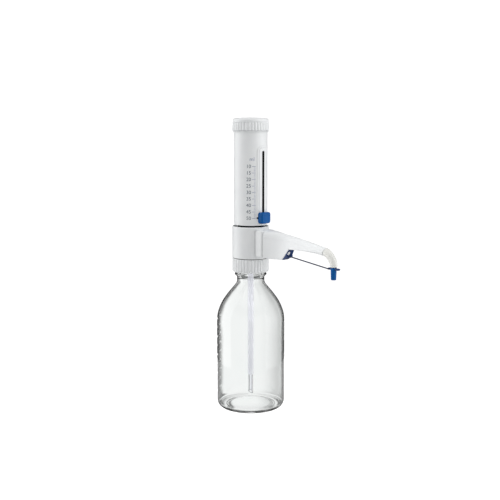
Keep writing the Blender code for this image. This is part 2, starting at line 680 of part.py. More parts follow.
def assemble():
    glass = bottle()
    lift = pivot("lift_axis", (0.0, 0.0, RIM_Z))
    for piece in (thread_ring(), rim_gasket()):
        place(piece, lift)
    head = pivot("head_axis", (0.0, 0.0, RIM_Z), lift)
    fixed = [head_housing(), valve_block(), *inlet_valve(), *dispensing_cylinder(), guide_sleeve(),
             arm_cover(), discharge_hose(), nozzle(), wire_bracket()]
    tube_fixed, tube_sliding = filling_tube()
    fixed.append(tube_fixed)
    for piece in fixed:
        piece.parent = head
        piece.matrix_parent_inverse = head.matrix_world.inverted()
    plug = vent_plug()
    plug.location.z = 240.0 * MM
    valve_body, spring = outlet_valve()
    outlet_ball = ball("outlet_ball", 2.7, (28.5, 0.0, OUTLET_Z))
    inlet_ball = ball("inlet_ball", 3.0, (0.0, 0.0, 227.95))
    for piece in (plug, valve_body, spring, outlet_ball, inlet_ball, tube_sliding):
        piece.parent = head
        piece.matrix_parent_inverse = head.matrix_world.inverted()
    stroke = pivot("stroke_axis", (0.0, 0.0, SLEEVE_BOTTOM), head)
    lifted = [outer_sleeve(), top_cap(), *piston()]
    slider = pivot("slider_axis", (SLEEVE_R, 0.0, SLIDER_Z), stroke)
    for piece in lifted:
        piece.parent = stroke
        piece.matrix_parent_inverse = stroke.matrix_world.inverted()
    for piece in volume_slider():
        piece.parent = slider
        piece.matrix_parent_inverse = slider.matrix_world.inverted()
    wire = cap_wire()
    set_origin(wire, (PIVOT_X, 0.0, PIVOT_Z))
    wire.parent = head
    wire.matrix_parent_inverse = head.matrix_world.inverted()
    hold = pivot("tip_cap_axis", (HOLD_X, 0.0, HOLD_Z), head)
    cap = tip_cap()
    cap.parent = hold
    cap.matrix_parent_inverse = hold.matrix_world.inverted()
    return glass


clear_scene()
collection("bottle_top_dispenser")
collection(CUTTERS)
MATERIALS = {
    "glass": material("clear_glass", (0.93, 0.96, 0.96), 0.02, alpha=0.3),
    "white": material("white_plastic", (0.86, 0.87, 0.87), 0.35),
    "block": material("natural_plastic", (0.80, 0.80, 0.77), 0.4),
    "ptfe": material("ptfe", (0.90, 0.90, 0.88), 0.45),
    "seal": material("seal_ptfe", (0.75, 0.75, 0.72), 0.5),
    "blue": material("blue_plastic", (0.02, 0.13, 0.42), 0.35),
    "black": material("black_plastic", (0.01, 0.01, 0.012), 0.4),
    "grey": material("grey_plastic", (0.55, 0.56, 0.57), 0.4),
    "clear_tube": material("translucent_tube", (0.85, 0.86, 0.84), 0.25, alpha=0.6),
    "ceramic": material("ceramic", (0.93, 0.92, 0.88), 0.15),
    "steel": material("steel", (0.6, 0.6, 0.62), 0.25, metallic=1.0),
    "dark_wire": material("dark_wire", (0.09, 0.11, 0.16), 0.35, metallic=0.6),
}
assemble()
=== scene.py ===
"""Looks of a bottle-top dispenser on a one-litre laboratory bottle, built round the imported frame.

Piece functions work in millimetres in the frame's axes: +Z up the bottle's axis, +X along the arm.
Every piece rides on the CAD body that it belongs to, and stands for the CAD node of the same part.
"""
import json
import math

import bmesh
import bpy
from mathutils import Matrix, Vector


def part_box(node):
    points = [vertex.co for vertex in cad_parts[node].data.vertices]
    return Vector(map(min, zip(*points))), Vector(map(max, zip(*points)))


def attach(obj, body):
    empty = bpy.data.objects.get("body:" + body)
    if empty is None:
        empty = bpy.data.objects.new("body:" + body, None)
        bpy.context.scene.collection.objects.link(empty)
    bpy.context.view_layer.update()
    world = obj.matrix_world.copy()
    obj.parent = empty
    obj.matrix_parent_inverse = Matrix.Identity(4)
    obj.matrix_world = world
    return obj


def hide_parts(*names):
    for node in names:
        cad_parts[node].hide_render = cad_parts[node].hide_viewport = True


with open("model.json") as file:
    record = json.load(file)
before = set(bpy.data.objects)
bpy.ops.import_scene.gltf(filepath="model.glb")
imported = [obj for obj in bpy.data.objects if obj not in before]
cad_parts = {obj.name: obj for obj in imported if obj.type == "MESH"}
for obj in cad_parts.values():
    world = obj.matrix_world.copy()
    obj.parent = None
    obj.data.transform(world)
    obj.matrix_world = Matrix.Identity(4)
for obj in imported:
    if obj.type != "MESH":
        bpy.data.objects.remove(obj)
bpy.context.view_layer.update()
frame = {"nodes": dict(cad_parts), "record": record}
MM = 0.001


def top_of(node):
    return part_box(node)[1].z / MM


def bottom_of(node):
    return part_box(node)[0].z / MM


# ---- driving dimensions (mm) -------------------------------------------------------------------
RIM_Z = top_of("bottle")
BOTTLE_R = 50.4
NECK_R = 20.6
WALL = 1.6

RING_R = 27.2
RING_BOTTOM, RING_TOP = bottom_of("thread_ring"), 227.0
RIBS = 36
RIB_DEPTH = 1.1

HEAD_R = 27.2
HEAD_BOTTOM, HEAD_TOP = bottom_of("head_housing"), top_of("head_housing")
BOSS_END, BOSS_HALF = 36.0, 14.6
BOSS_LOW, BOSS_HIGH = 231.0, 269.9

SLEEVE_R, SLEEVE_BORE = 24.6, 22.3
SLEEVE_BOTTOM, SLEEVE_TOP = bottom_of("outer_sleeve"), top_of("outer_sleeve")
SLOT_HALF, SLOT_LOW, SLOT_HIGH = 2.2, 283.0, 385.0
SLIDER_Z = (top_of("slider_block") + bottom_of("slider_block")) / 2
SLIDER_SADDLE = 25.65

CAP_R = 26.4
CAP_BOTTOM, CAP_TOP = bottom_of("top_cap"), top_of("top_cap")

# Ends of the wire in the arm's plane, (x, z), and the blue clip and cap bar that hold them.
PIVOT = (79.4, 236.6)
HOLD = (151.0, 226.8)
WIRE_Y = -2.9
WIRE_R, WIRE_HOLE_R = 0.88, 0.95
LUG_HALF = 1.9
PEG_Y, PEG_R, PEG_HOLE_R = -3.4, 2.6, 2.8
TIP_X, TIP_BORE_R = 158.4, 2.8

SCALE_STEP = 9.4
SCALE_LOW = SLIDER_Z - 0.4


# ---- materials ---------------------------------------------------------------------------------
class Maths:
    """Adds math nodes to a tree: a call takes an operation with sockets or numbers, and gives a socket."""

    def __init__(self, tree):
        self.tree = tree

    def __call__(self, operation, *values):
        node = self.tree.nodes.new("ShaderNodeMath")
        node.operation = operation
        self.fill(node.inputs, values)
        return node.outputs["Value"]

    def fill(self, sockets, values):
        for socket, value in zip(sockets, values):
            if isinstance(value, (int, float)):
                socket.default_value = value
            else:
                self.tree.links.new(value, socket)

    def split(self, vector):
        node = self.tree.nodes.new("ShaderNodeSeparateXYZ")
        self.tree.links.new(vector, node.inputs["Vector"])
        return node.outputs["X"], node.outputs["Y"], node.outputs["Z"]

    def turned(self, x, y, degrees):
        """Signed angle from an azimuth in degrees to that of (x, y), from minus to plus half a turn."""
        return self("WRAP", self("SUBTRACT", self("ARCTAN2", y, x), math.radians(degrees)), math.pi, -math.pi)

    def ray_kinds(self):
        """1 for a ray straight from the camera, and 1 for one that has only been through glass since."""
        path = self.tree.nodes.new("ShaderNodeLightPath")
        clear = self("LESS_THAN", path.outputs["Diffuse Depth"], 0.5)
        return path.outputs["Is Camera Ray"], self("MULTIPLY", path.outputs["Is Transmission Ray"], clear)

    def glossy_ray(self):
        return self.tree.nodes.new("ShaderNodeLightPath").outputs["Is Glossy Ray"]

    def step(self, value, low, high, start=0.0, end=1.0):
        """A smooth step from start to end while the value goes from low to high."""
        node = self.tree.nodes.new("ShaderNodeMapRange")
        node.interpolation_type = "SMOOTHSTEP"
        self.fill(node.inputs, (value, low, high, start, end))
        return node.outputs["Result"]

    def sector(self, angle, low, high, start=0.0, end=1.0):
        """A smooth step over an angle, between low and high degrees."""
        return self.step(angle, math.radians(low), math.radians(high), start, end)


def painted_edge_shade(made, start, end, darkest, upright=(0.75, 0.9)):
    """Darkens glass seen nearly edge-on, between two values of facing, on upright walls only: painted shade
    in the glass's colour, standing in for the dark surroundings that its edges refract.

    upright holds the two values of the normal's height between which the tint fades out.
    """
    tree = made.node_tree
    nodes = Maths(tree)
    shader = tree.nodes["Principled BSDF"]
    facing = tree.nodes.new("ShaderNodeLayerWeight").outputs["Facing"]
    height = nodes.split(tree.nodes.new("ShaderNodeNewGeometry").outputs["Normal"])[2]
    grazing_darkening = nodes("MAXIMUM", nodes.step(facing, start, end, 1.0, darkest),
                 nodes.step(nodes("ABSOLUTE", height), *upright))
    scaled = tree.nodes.new("ShaderNodeVectorMath")
    scaled.operation = "SCALE"
    tree.links.new(shader.inputs["Base Color"].links[0].from_socket, scaled.inputs[0])
    tree.links.new(grazing_darkening, scaled.inputs["Scale"])
    tree.links.new(scaled.outputs["Vector"], shader.inputs["Base Color"])


def finish(name, colour, shade, roughness, patch=45.0, grain=2200.0, relief=0.00002, **sockets):
    """A moulded or ground surface: cloudy colour between colour and shade, uneven gloss and a fine grain.

    patch and grain are noise scales per metre, relief is the grain's height in metres, and roughness
    is a pair. Sockets that are the same all over are given by name, with underscores for spaces.
    """
    made = bpy.data.materials.new(name)
    made.use_nodes = True
    tree = made.node_tree
    shader = tree.nodes["Principled BSDF"]
    for key, value in sockets.items():
        shader.inputs[key.replace("_", " ")].default_value = value
    place = tree.nodes.new("ShaderNodeTexCoord")

    def noise(scale, detail, distortion=0.0):
        node = tree.nodes.new("ShaderNodeTexNoise")
        node.inputs["Scale"].default_value = scale
        node.inputs["Detail"].default_value = detail
        node.inputs["Distortion"].default_value = distortion
        tree.links.new(place.outputs["Object"], node.inputs["Vector"])
        return node.outputs["Fac"]

    ramp = tree.nodes.new("ShaderNodeValToRGB")
    ramp.color_ramp.elements[0].position, ramp.color_ramp.elements[0].color = 0.35, (*shade, 1.0)
    ramp.color_ramp.elements[1].position, ramp.color_ramp.elements[1].color = 0.65, (*colour, 1.0)
    tree.links.new(noise(patch, 4.0, 0.4), ramp.inputs["Fac"])
    tree.links.new(ramp.outputs["Color"], shader.inputs["Base Color"])

    gloss = tree.nodes.new("ShaderNodeMapRange")
    gloss.inputs["To Min"].default_value, gloss.inputs["To Max"].default_value = roughness
    tree.links.new(noise(patch * 3.1, 3.0), gloss.inputs["Value"])
    tree.links.new(gloss.outputs["Result"], shader.inputs["Roughness"])

    bump = tree.nodes.new("ShaderNodeBump")
    bump.inputs["Distance"].default_value = relief
    tree.links.new(noise(grain, 2.0), bump.inputs["Height"])
    tree.links.new(bump.outputs["Normal"], shader.inputs["Normal"])
    return made


FINISHES = {
    "clear_glass": finish("glass", (0.985, 0.995, 0.99), (0.97, 0.985, 0.98), (0.0, 0.005), 20.0, 55.0,
                          0.00005, Transmission_Weight=1.0, IOR=1.473),
    "white_plastic": finish("white_moulding", (0.84, 0.855, 0.86), (0.81, 0.825, 0.835), (0.32, 0.42)),
    "natural_plastic": finish("natural_moulding", (0.78, 0.77, 0.72), (0.72, 0.71, 0.67), (0.38, 0.5)),
    "ptfe": finish("ptfe_white", (0.88, 0.88, 0.86), (0.82, 0.82, 0.80), (0.42, 0.52), relief=0.00001),
    "seal": finish("seal_pale", (0.72, 0.71, 0.67), (0.62, 0.61, 0.58), (0.5, 0.62), 120.0),
    "blue_plastic": finish("blue_moulding", (0.003, 0.095, 0.33), (0.002, 0.080, 0.28), (0.22, 0.34),
                           relief=0.000008, Specular_IOR_Level=0.12),
    "black_plastic": finish("black_moulding", (0.005, 0.005, 0.006), (0.003, 0.003, 0.004), (0.4, 0.5),
                            Specular_IOR_Level=0.06),
    "grey_plastic": finish("grey_moulding", (0.50, 0.51, 0.52), (0.42, 0.43, 0.44), (0.35, 0.48)),
    "translucent_tube": finish("clear_tube", (0.97, 0.97, 0.99), (0.94, 0.94, 0.97), (0.02, 0.06), 160.0,
                               700.0, 0.000005, Transmission_Weight=1.0, IOR=1.34),
    "ceramic": finish("ceramic_ball", (0.90, 0.89, 0.85), (0.84, 0.83, 0.80), (0.08, 0.16), 300.0, 4000.0,
                      0.000004),
    "steel": finish("spring_steel", (0.56, 0.56, 0.58), (0.40, 0.40, 0.43), (0.18, 0.34), 400.0, 6000.0,
                    0.000006, Metallic=1.0),
    "dark_wire": finish("coated_wire", (0.012, 0.025, 0.07), (0.008, 0.015, 0.045), (0.3, 0.45), 500.0,
                        3000.0, Specular_IOR_Level=0.2),
}
# The milky tube glows: its emission is painted light, standing in for light scattered through the tube.
MILKY_GLOW_FINISH = finish("milky_tube_painted_glow", (0.97, 0.97, 0.99), (0.93, 0.93, 0.97), (0.05, 0.12), 160.0, 700.0,
                      0.000008, Transmission_Weight=0.5, IOR=1.34, Emission_Color=(0.95, 0.95, 1.0, 1.0),
                      Emission_Strength=0.15)
NOZZLE_FINISH = finish("cream_nozzle", (0.81, 0.81, 0.775), (0.77, 0.77, 0.735), (0.22, 0.34), 60.0,
                       900.0, 0.000004, Coat_Weight=0.2, Coat_Roughness=0.15)
PRINT_FINISH = finish("scale_ink", (0.10, 0.125, 0.17), (0.075, 0.09, 0.13), (0.45, 0.6), 300.0,
                      Specular_IOR_Level=0.2)
TICK_FINISH = finish("tick_ink", (0.30, 0.33, 0.46), (0.24, 0.27, 0.38), (0.45, 0.6), 300.0,
                     Specular_IOR_Level=0.2)
# A darker copy of the blue moulding: painted shade for the clip and the cap bar.
BLUE_SHADED_FINISH = finish("blue_painted_shade", (0.004, 0.034, 0.15), (0.003, 0.024, 0.11), (0.2, 0.3), relief=0.000012,
                     Specular_IOR_Level=0.35)
# The enamel glows: its emission is painted light that brightens its back, seen through the glass.
ENAMEL_GLOW_FINISH = finish("bottle_enamel_painted_glow", (0.95, 0.96, 0.95), (0.88, 0.89, 0.88), (0.4, 0.55), 300.0, 5000.0,
                       0.00001, Emission_Color=(1.0, 1.0, 1.0, 1.0), Emission_Strength=0.25)
# The glass gets painted edge shade: its colour darkens where it is seen edge-on.
painted_edge_shade(FINISHES["clear_glass"], start=0.60, end=0.77, darkest=0.03)


# ---- mesh helpers ------------------------------------------------------------------------------
def show(name, mesh, look, body, *nodes, slot=None, sharp=38.0):
    """Links a mesh in metres as a piece on a body, in place of CAD nodes."""
    shape = bmesh.new()
    shape.from_mesh(mesh)
    bmesh.ops.remove_doubles(shape, verts=shape.verts, dist=0.002 * MM)
    bmesh.ops.recalc_face_normals(shape, faces=shape.faces)
    shape.to_mesh(mesh)
    shape.free()
    mesh.name = name
    mesh.shade_smooth()
    mesh.set_sharp_from_angle(angle=math.radians(sharp))
    mesh.materials.clear()
    mesh.materials.append(look)
    piece = bpy.data.objects.new(name, mesh)
    bpy.context.scene.collection.objects.link(piece)
    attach(piece, body)
    if nodes:
        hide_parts(*nodes)
    return piece


def mesh_of(vertices, faces):
    """A mesh in metres from points in millimetres."""
    mesh = bpy.data.meshes.new("part")
    mesh.from_pydata([tuple(c * MM for c in v) for v in vertices], [], faces)
    return mesh


def skin(rows, close_rows=False, cap=False):
    """Faces over rows of points, each row a closed loop. close_rows joins the last row to the first."""
    count = len(rows[0])
    vertices = [p for row in rows for p in row]
    faces = []
    for r in range(len(rows) if close_rows else len(rows) - 1):
        s = (r + 1) % len(rows)
        for i in range(count):
            j = (i + 1) % count
            faces.append((r * count + i, r * count + j, s * count + j, s * count + i))
    if cap:
        faces.append(tuple(range(count))[::-1])
        faces.append(tuple(range((len(rows) - 1) * count, len(rows) * count)))
    return mesh_of(vertices, faces)


def softened(points, steps=4, closed=True):
    """Rounds the corners of a line of (r, z) or (r, z, radius) points."""
    out = []
    count = len(points)
    for i, point in enumerate(points):
        here = Vector(point[:2])
        size = point[2] if len(point) > 2 else 0.0
        if not size or (not closed and i in (0, count - 1)):
            out.append(tuple(here))
            continue
        before, after = Vector(points[i - 1][:2]) - here, Vector(points[(i + 1) % count][:2]) - here
        start = here + before.normalized() * min(size, before.length * 0.49)
        end = here + after.normalized() * min(size, after.length * 0.49)
        for k in range(steps + 1):
            t = k / steps
            out.append(tuple(start.lerp(here, t).lerp(here.lerp(end, t), t)))
    return out


def smooth_route(points, per_span):
    """Points on a Catmull-Rom curve through the given points, of any dimension."""
    ends = [points[0]] + list(points) + [points[-1]]
    route = []
    for a, b, c, d in zip(ends, ends[1:], ends[2:], ends[3:]):
        for step in range(per_span):
            t = step / per_span
            route.append(tuple(0.5 * (2 * q + (r - p) * t + (2 * p - 5 * q + 4 * r - s) * t * t
                                      + (3 * q - p - 3 * r + s) * t ** 3)
                               for p, q, r, s in zip(a, b, c, d)))
    return route + [tuple(points[-1])]


def arc(centre, radius, start, end, count, squeeze=1.0):
    """Points on an arc from start to end degrees, both included, its height times squeeze."""
    angles = [math.radians(start + (end - start) * i / (count - 1)) for i in range(count)]
    return [(centre[0] + radius * math.cos(a), centre[1] + radius * squeeze * math.sin(a)) for a in angles]


def lathe(profile, steps, swell=None, angles=None, centre_x=0.0):
    """A turned skin over a closed (r, z) profile. swell(angle, r, z) is added to the radius."""
    angles = angles or [2 * math.pi * i / steps for i in range(steps)]
    rows = []
    for r, z in profile:
        radii = [r + (swell(a, r, z) if swell else 0.0) for a in angles]
        rows.append([(centre_x + q * math.cos(a), q * math.sin(a), z) for q, a in zip(radii, angles)])
    return skin(rows, close_rows=True)


def fade(value, low, high):
    """0 below low, 1 above high, and a smooth step between them."""
    t = min(max((value - low) / (high - low), 0.0), 1.0)
    return t * t * (3 - 2 * t)


def grip_ribs(low, high, ramp, inside=20.0):
    """Rounded vertical ribs on the outer skin between two heights."""
    def swell(angle, r, z):
        if r < inside:
            return 0.0
        crest = 1.0 - (0.5 - 0.5 * math.cos(RIBS * angle)) ** 3
        return RIB_DEPTH * crest * fade(z, low, low + ramp) * (1.0 - fade(z, high - ramp, high))
    return swell


def sweep(route, radii, steps):
    """Rows of a round bar along 3-D points, with frames that don't twist."""
    points = [Vector(p) for p in route]
    rows, side = [], None
    for i, point in enumerate(points):
        along = (points[min(i + 1, len(points) - 1)] - points[max(i - 1, 0)]).normalized()
        side = along.orthogonal() if side is None else side - along * side.dot(along)
        side.normalize()
        up = along.cross(side)
        rows.append([tuple(point + (side * math.cos(a) + up * math.sin(a)) * radii[i])
                     for a in (2 * math.pi * k / steps for k in range(steps))])
    return rows


def prism(outline, low, high):
    """A plate in the XZ plane from y = low to y = high."""
    return skin([[(x, low, z) for x, z in outline], [(x, high, z) for x, z in outline]], cap=True)


def rod_between(start, end, radius, steps=32):
    """A solid round bar between two points."""
    return skin(sweep([start, end], [radius, radius], steps), cap=True)


def carved(mesh, *steps, round_off=0.0, segments=3):
    """The mesh after Boolean steps, each ("DIFFERENCE" or "UNION", mesh), with its edges rounded off."""
    target = bpy.data.objects.new("carving", mesh)
    bpy.context.scene.collection.objects.link(target)
    tools = []
    for operation, tool_mesh in steps:
        for part in (mesh, tool_mesh):
            shape = bmesh.new()
            shape.from_mesh(part)
            bmesh.ops.recalc_face_normals(shape, faces=shape.faces)
            shape.to_mesh(part)
            shape.free()
        tool = bpy.data.objects.new("tool", tool_mesh)
        bpy.context.scene.collection.objects.link(tool)
        tools.append(tool)
        change = target.modifiers.new("step", "BOOLEAN")
        change.operation, change.object, change.solver = operation, tool, "EXACT"
    if round_off:
        edge = target.modifiers.new("edge", "BEVEL")
        edge.width, edge.segments, edge.limit_method = round_off * MM, segments, "ANGLE"
        edge.angle_limit = math.radians(35.0)
    bpy.context.view_layer.update()
    result = bpy.data.meshes.new_from_object(target.evaluated_get(bpy.context.evaluated_depsgraph_get()))
    for spare in (target, *tools):
        bpy.data.objects.remove(spare)
    return result


def merged(meshes):
    """One mesh with the pieces of all the meshes, which are used up."""
    whole = bmesh.new()
    for mesh in meshes:
        whole.from_mesh(mesh)
        bpy.data.meshes.remove(mesh)
    result = bpy.data.meshes.new("merged")
    whole.to_mesh(result)
    whole.free()
    return result


# ---- bottle ------------------------------------------------------------------------------------
def bottle():
    """Blown glass bottle with a screw thread, a bead under it, a thick heel and a raised base."""
    pitch, crest, ridge_half = 4.0, 1.6, 1.5
    thread_low, thread_start, thread_high = 212.0, 214.2, 222.5

    def thread(angle, r, z):
        if r < NECK_R - 0.3 or not thread_low < z < thread_high:
            return 0.0
        turn = angle / (2 * math.pi)
        away = min(abs(z - thread_start - pitch * (turn + k)) for k in range(-1, 3))
        height = max(0.0, 1.0 - away / ridge_half)
        return crest * height ** 0.7 * fade(z, 212.4, 214.4) * (1.0 - fade(z, 220.6, 222.2))

    heel, inner_heel = 11.0, 3.0
    shoulder = [(NECK_R - 0.3, 195.5), (NECK_R + 0.1, 190.5), (24.0, 185.2), (33.6, 173.6), (42.3, 161.0),
                (47.8, 148.4), (49.8, 139.5), (BOTTLE_R, 129.0)]
    lip = arc((NECK_R - 1.2, RIM_Z - 1.2), 1.2, 90, 0, 5)
    threaded = [(NECK_R, 222.4 - 0.35 * i) for i in range(30)]
    bead = [(NECK_R, 206.4), (NECK_R + 0.5, 205.2)] + arc((NECK_R + 1.4, 202.5), 1.6, 62, -62, 7)
    bead += [(NECK_R + 0.4, 199.6), (NECK_R - 0.3, 198.2)]
    outer = lip + threaded + bead + smooth_route(shoulder, 5)
    outer += [(BOTTLE_R, z) for z in (110.0, 85.0, 60.0, 35.0, 20.0)]
    outer += arc((BOTTLE_R - heel, heel), heel, 0, -90, 12)
    base = [(37.0, 0.0), (35.2, 0.15), (34.2, 0.9), (33.0, 1.4), (28.0, 1.8), (20.0, 2.2), (10.0, 2.5),
            (0.0, 2.6)]
    inside_r = BOTTLE_R - WALL
    floor = [(0.0, 6.4), (12.0, 6.3), (22.0, 6.0), (30.0, 5.6), (36.0, 5.1), (40.0, 4.8)]
    inner = floor + arc((inside_r - inner_heel, 4.8 + inner_heel), inner_heel, -90, 0, 10)
    inner += [(inside_r, z) for z in (35.0, 60.0, 85.0, 110.0)]
    shoulder_in, shoulder_down = 1.35, 0.95
    inner += [(r - shoulder_in, z - shoulder_down) for r, z in reversed(smooth_route(shoulder, 5))]
    inner += [(16.4, 199.0), (16.0, 204.0), (16.0, 214.0)]
    inner += arc((NECK_R - 3.4, RIM_Z - 1.2), 1.2, 180, 90, 5)
    mesh = lathe(outer + base + inner, 160, thread)
    show("bottle_glass", mesh, FINISHES["clear_glass"], "bottle", "bottle", slot="clear_glass", sharp=60.0)


def on_bottle(azimuth, width, low, high, gap=0.02, top=0.08):
    """Inner and outer loop of an enamel patch: middle azimuth in degrees, width along the wall in mm.

    gap and top are the heights of its two faces over the glass.
    """
    half = math.degrees(width / BOTTLE_R) / 2
    count = max(2, int(half) + 1)
    outline = [(math.radians(azimuth - half + 2 * half * i / count), low) for i in range(count + 1)]
    outline += [(a, high) for a, _ in reversed(outline)]
    return [[(r * math.cos(a), r * math.sin(a), z) for a, z in outline]
            for r in (BOTTLE_R + gap, BOTTLE_R + top)]


def strip(inner, outer):
    """A closed thin plate between two loops, whose points run there and back."""
    count, half = len(inner), len(inner) // 2
    faces = [(i, i + 1, count - 2 - i, count - 1 - i) for i in range(half - 1)]
    faces += [tuple(count + k for k in reversed(face)) for face in faces]
    faces += [(i, (i + 1) % count, count + (i + 1) % count, count + i) for i in range(count)]
    return mesh_of([*inner, *outer], faces)


def bottle_print():
    """White enamel: a 100 ml graduation at one side and two ruled writing panels opposite."""
    patches = []
    graduation, long_mark, short_mark, mark_half = 219.0, 32.0, 27.0, 1.3
    top_mark, mark_step = 136.3, 13.76
    for k in range(9):
        z = top_mark - mark_step * k
        patches.append((graduation, short_mark if k % 2 else long_mark, z - mark_half, z + mark_half))

    panel, width, line, rule, rule_margin = 50.0, 30.0, 0.8, 0.5, 6.0
    for low, high in ((104.0, 132.0), (52.0, 83.0)):
        patches += [(panel, width, low, low + line), (panel, width, high - line, high)]
        for z in (low + (high - low) / 3, low + (high - low) * 2 / 3):
            patches.append((panel, width - rule_margin, z, z + rule))
        for side in (-1, 1):
            edge = panel + side * math.degrees((width - line) / 2 / BOTTLE_R)
            patches.append((edge, line, low + line, high - line))
    # The enamel marks carry painted light: they glow.
    show("bottle_print", merged([strip(*on_bottle(*patch)) for patch in patches]), ENAMEL_GLOW_FINISH, "bottle")


# ---- thread ring and head ----------------------------------------------------------------------
def thread_ring():
    """Union ring with rounded ribs, and a thin black ring in the gap over it: painted shade for that gap."""
    root = RING_R - RIB_DEPTH
    profile = softened([
        (24.4, 230.4, 0.3), (24.4, RING_TOP, 0.1), (root + 0.35, RING_TOP, 1.0),
        *((root, z) for z in (225.6, 225.0, 224.0, 216.0, 209.6, 208.6, 208.0)),
        (root + 0.3, RING_BOTTOM, 0.7), (23.3, RING_BOTTOM, 0.6), (23.0, 210.0), (23.0, 224.2, 0.2),
        (22.4, 224.2), (22.4, 228.4, 0.2), (19.4, 228.4, 0.2), (19.4, 230.4, 0.2)])
    mesh = lathe(profile, RIBS * 12, grip_ribs(RING_BOTTOM + 0.6, RING_TOP - 0.8, 1.4, inside=root - 0.2))
    show("ring_shell", mesh, FINISHES["white_plastic"], "thread_ring", "thread_ring", slot="white_plastic")
    # A black ring sits in the gap under the head: painted shade where only shade falls.
    gap_shade = lathe([(24.4, 226.6), (26.5, 226.6), (26.5, 227.32), (24.4, 227.32)], 120)
    show("gap_shade_ring", gap_shade, FINISHES["black_plastic"], "thread_ring")


def boss_outline(front, half, corner=2.2, notch=0.8):
    """The arm's boss on the head seen from above, with a fine groove where its sides leave the circle."""
    side_x = math.sqrt(HEAD_R ** 2 - half ** 2)
    lower = [(side_x - notch, -half - notch * 0.15), (side_x + 0.2, -half + 1.8), (side_x + notch, -half)]
    lower += [(side_x + (front - corner - side_x) * t, -half) for t in (0.35, 0.7)]
    lower += arc((front - corner, corner - half), corner, -90, 0, 7)
    lower += [(front, (corner - half) * t) for t in (0.75, 0.5, 0.25)]
    return lower + [(front, 0.0)] + [(x, -y) for x, y in reversed(lower)]


def head_outline(radius, boss=None):
    """The head seen from above: the circle, closed by the boss's outline or by the rest of the circle."""
    joint = math.degrees(math.asin(BOSS_HALF / HEAD_R))
    count = len(boss_outline(BOSS_END, BOSS_HALF))
    front = boss or arc((0.0, 0.0), radius, -joint - 1.2, joint + 1.2, count)
    return arc((0.0, 0.0), radius, joint + 2.5, 357.5 - joint, 73) + front


def head_housing():
    """White housing: a round shell whose middle rows bulge out to the arm's boss, with rounded edges."""
    def rings(*profile):
        return [[(x, y, z) for x, y in head_outline(r)] for r, z in softened(profile, closed=False)]

    def boss_row(angle, end, inwards):
        """Section of the boss's rounded edge at an angle, by an end height and the way in from it."""
        edge = 1.8
        inset = edge * (1 - math.cos(math.radians(angle)))
        z = end + inwards * edge * (1 - math.sin(math.radians(angle)))
        return [(x, y, z) for x, y in head_outline(HEAD_R, boss_outline(BOSS_END - inset, BOSS_HALF - inset))]

    quarter = (90, 65, 40, 20, 0)
    rows = rings((19.4, 271.0), (25.5, 271.0, 0.3), (25.5, HEAD_TOP, 0.5), (HEAD_R, HEAD_TOP, 1.8),
                 (HEAD_R, BOSS_HIGH))
    rows += [boss_row(angle, BOSS_HIGH, -1) for angle in quarter]
    rows += [boss_row(angle, BOSS_LOW, 1) for angle in reversed(quarter)]
    rows += rings((HEAD_R, BOSS_LOW), (HEAD_R, HEAD_BOTTOM, 0.8), (25.1, HEAD_BOTTOM, 0.3),
                  (25.1, 231.0, 0.3), (22.0, 231.0, 0.3), (22.0, 268.4), (19.4, 268.4))
    show("housing_shell", skin(rows, close_rows=True), FINISHES["white_plastic"], "head", "head_housing",
         slot="white_plastic", sharp=30.0)


def vent_button():
    """Breather plug at the back of the head, with a domed face and a slot for a coin."""
    middle_z, slot_half, slot_long, count = 240.0, 0.5, 3.4, 40
    low, high = middle_z - slot_half, middle_z + slot_half
    profile = softened([(0.0, 22.8), (2.6, 22.8, 0.3), (2.6, 27.0, 0.2), (4.8, 27.0, 0.4), (4.8, 29.2, 0.9),
                        (0.0, 30.0)], closed=False)
    rows = [[(-h, r * math.cos(a), middle_z + r * math.sin(a))
             for a in (2 * math.pi * k / count for k in range(count))] for r, h in profile]
    slot = skin([[(x, -slot_long, low), (x, slot_long, low), (x, slot_long, high), (x, -slot_long, high)]
                 for x in (-31.0, -29.3)], cap=True)
    mesh = carved(skin(rows, cap=True), ("DIFFERENCE", slot))
    show("vent_button", mesh, FINISHES["white_plastic"], "head", "vent_plug", slot="white_plastic")


def guide_shell():
    """Black guide that shows in the slot and under the sleeve, with its notched stop ring."""
    ring_from, notch_deep, notch_half = 20.0, 2.2, 0.30

    def notch(angle, r, z):
        inside = r > ring_from and abs(math.remainder(angle, 2 * math.pi)) < notch_half
        return -notch_deep if inside else 0.0

    profile = [(19.0, 262.8), (17.6, 262.8), (17.6, 391.8), (21.3, 391.8), (21.3, 388.2), (20.4, 387.0),
               (19.0, 386.4), (19.0, 330.0)]
    show("guide_shell", lathe(profile, 96, notch), FINISHES["black_plastic"], "head", "guide_sleeve",
         slot="black_plastic")


